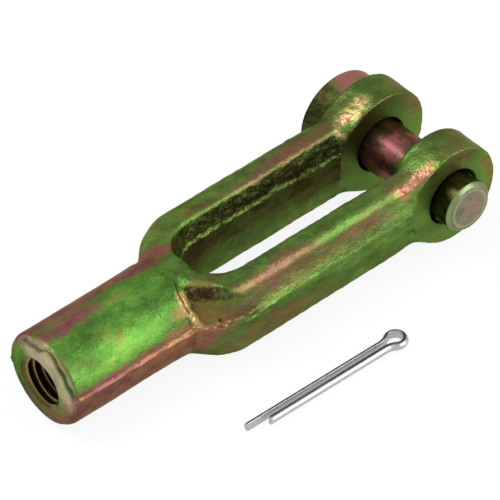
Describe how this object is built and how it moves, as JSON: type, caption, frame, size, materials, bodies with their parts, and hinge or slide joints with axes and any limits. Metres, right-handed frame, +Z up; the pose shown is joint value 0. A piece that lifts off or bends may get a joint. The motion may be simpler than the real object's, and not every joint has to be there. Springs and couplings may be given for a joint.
{
  "type": "clevis rod end",
  "caption": "Forged clevis rod end: a fork with eyes at its open end, a tapped round shank, a headed clevis pin through the eyes and a split pin to lock it.",
  "frame": {"origin": "middle of the clevis pin's axis, halfway between the two eyes", "axes": "-X along the shank, away from the eyes; +Y along the pin towards its head; +Z up, square to the plane of the fork"},
  "size_m": [0.1169, 0.0591, 0.0244],
  "materials": {
    "fork_plating": "forged steel, zinc plated with a yellow-green iridescent passivate that shifts to pink and copper",
    "pin_plating": "turned steel, zinc plated with the same iridescent passivate, pinker on the shaft",
    "split_pin_wire": "bright drawn half-round wire, clear zinc plated"
  },
  "bodies": {
    "fork": {"clevis_fork": "fork_plating", "split_pin": "split_pin_wire"},
    "pin": {"clevis_pin": "pin_plating"}
  },
  "joints": [
    {"name": "pin_slide", "type": "slide", "parent": "fork", "child": "pin", "axis": [0, 1, 0], "range_m": [0, 0.04]}
  ]
}
